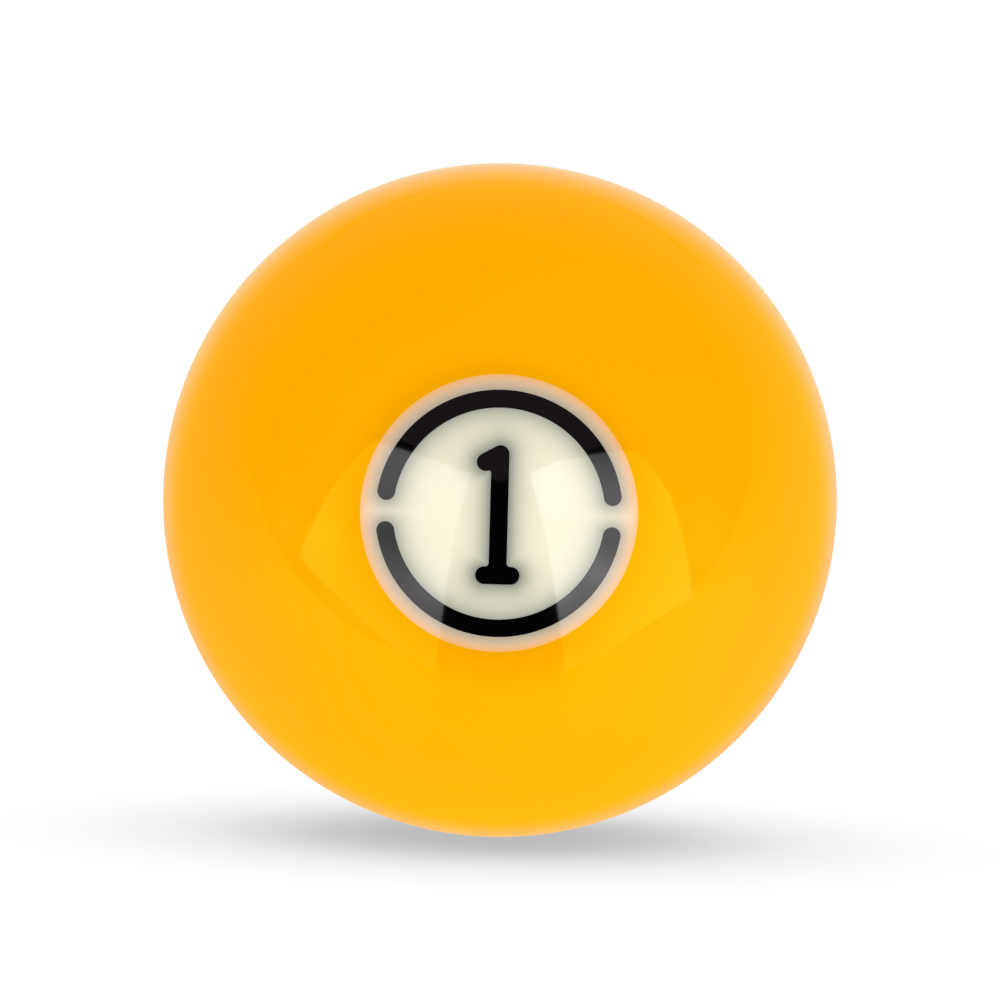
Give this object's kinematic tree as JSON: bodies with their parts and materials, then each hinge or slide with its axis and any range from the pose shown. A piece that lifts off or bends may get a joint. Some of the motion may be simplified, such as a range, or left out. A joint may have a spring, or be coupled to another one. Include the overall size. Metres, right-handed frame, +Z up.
{
  "type": "pool ball",
  "caption": "Solid numbered pool ball: a glossy coloured sphere with flush ivory number inserts, each with an inlaid black numeral inside a split ring.",
  "frame": {"origin": "centre of the ball", "axes": "+Z up; the front number faces -Y and reads upright with +Z up and +X to the reader's right; the back number faces +Y and also reads upright; the ball touches its table at its lowest point on -Z"},
  "size_m": [0.0572, 0.0572, 0.0572],
  "materials": {
    "body_resin": "mirror-polished cast phenolic resin, warm yellow-orange",
    "insert_resin": "mirror-polished cast phenolic resin, ivory white",
    "inlay_resin": "mirror-polished cast phenolic resin, black"
  },
  "bodies": {
    "root": {"ball_body": "body_resin", "number_insert_front": "insert_resin", "numeral_front": "inlay_resin", "ring_upper_front": "inlay_resin", "ring_lower_front": "inlay_resin", "number_insert_back": "insert_resin", "numeral_back": "inlay_resin", "ring_upper_back": "inlay_resin", "ring_lower_back": "inlay_resin"}
  },
  "joints": []
}
